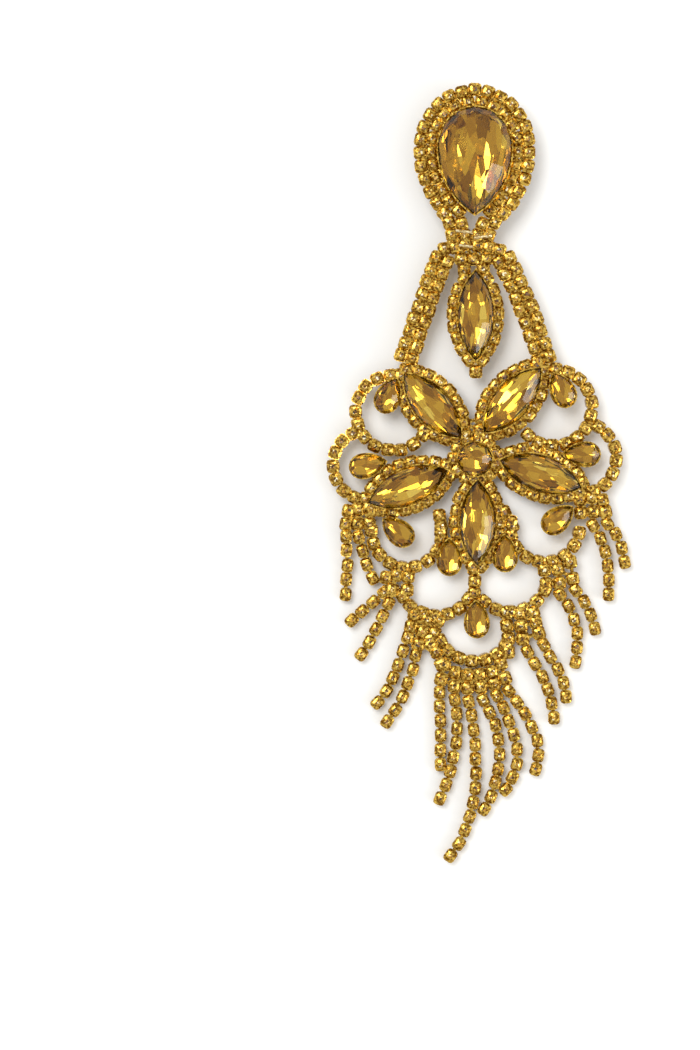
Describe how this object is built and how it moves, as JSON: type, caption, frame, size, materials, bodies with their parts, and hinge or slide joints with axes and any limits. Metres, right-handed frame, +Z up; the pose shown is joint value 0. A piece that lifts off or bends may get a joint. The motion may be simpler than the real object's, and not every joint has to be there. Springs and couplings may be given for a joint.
{
  "type": "chandelier earring",
  "caption": "Long chandelier earring of gold-plated cup chain: pear-cut head stone, flower of navette-cut yellow stones, scallop loops with small pear drops, and a fringe of short strands.",
  "frame": {"origin": "on the surface, under the middle of the earring's bounding box", "axes": "+Y up the earring from the fringe to the head, +Z up, away from the surface that it lies on, towards the stones' faces"},
  "size_m": [0.052, 0.1332, 0.0089],
  "materials": {
    "gold": "polished",
    "topaz": "cut and foil-backed"
  },
  "bodies": {
    "root": {"soldered_frame": "gold", "drop_frame": "gold", "strand_1": "gold", "strand_2": "gold", "strand_3": "gold", "strand_4": "gold", "strand_5": "gold", "strand_6": "gold", "strand_7": "gold", "strand_8": "gold", "strand_9": "gold", "strand_10": "gold", "strand_11": "gold", "strand_12": "gold", "strand_13": "gold", "strand_14": "gold", "strand_15": "gold", "strand_16": "gold", "strand_17": "gold", "strand_18": "gold", "ear_clip": "gold", "head_stone": "topaz", "centre_stone": "topaz", "drop_stone": "topaz", "petal_stone_1": "topaz", "petal_stone_2": "topaz", "petal_stone_3": "topaz", "petal_stone_4": "topaz", "petal_stone_5": "topaz", "pear_1": "topaz", "pear_2": "topaz", "pear_3": "topaz", "pear_4": "topaz", "pear_5": "topaz", "pear_6": "topaz", "pear_7": "topaz", "pear_8": "topaz", "pear_9": "topaz"}
  },
  "joints": []
}
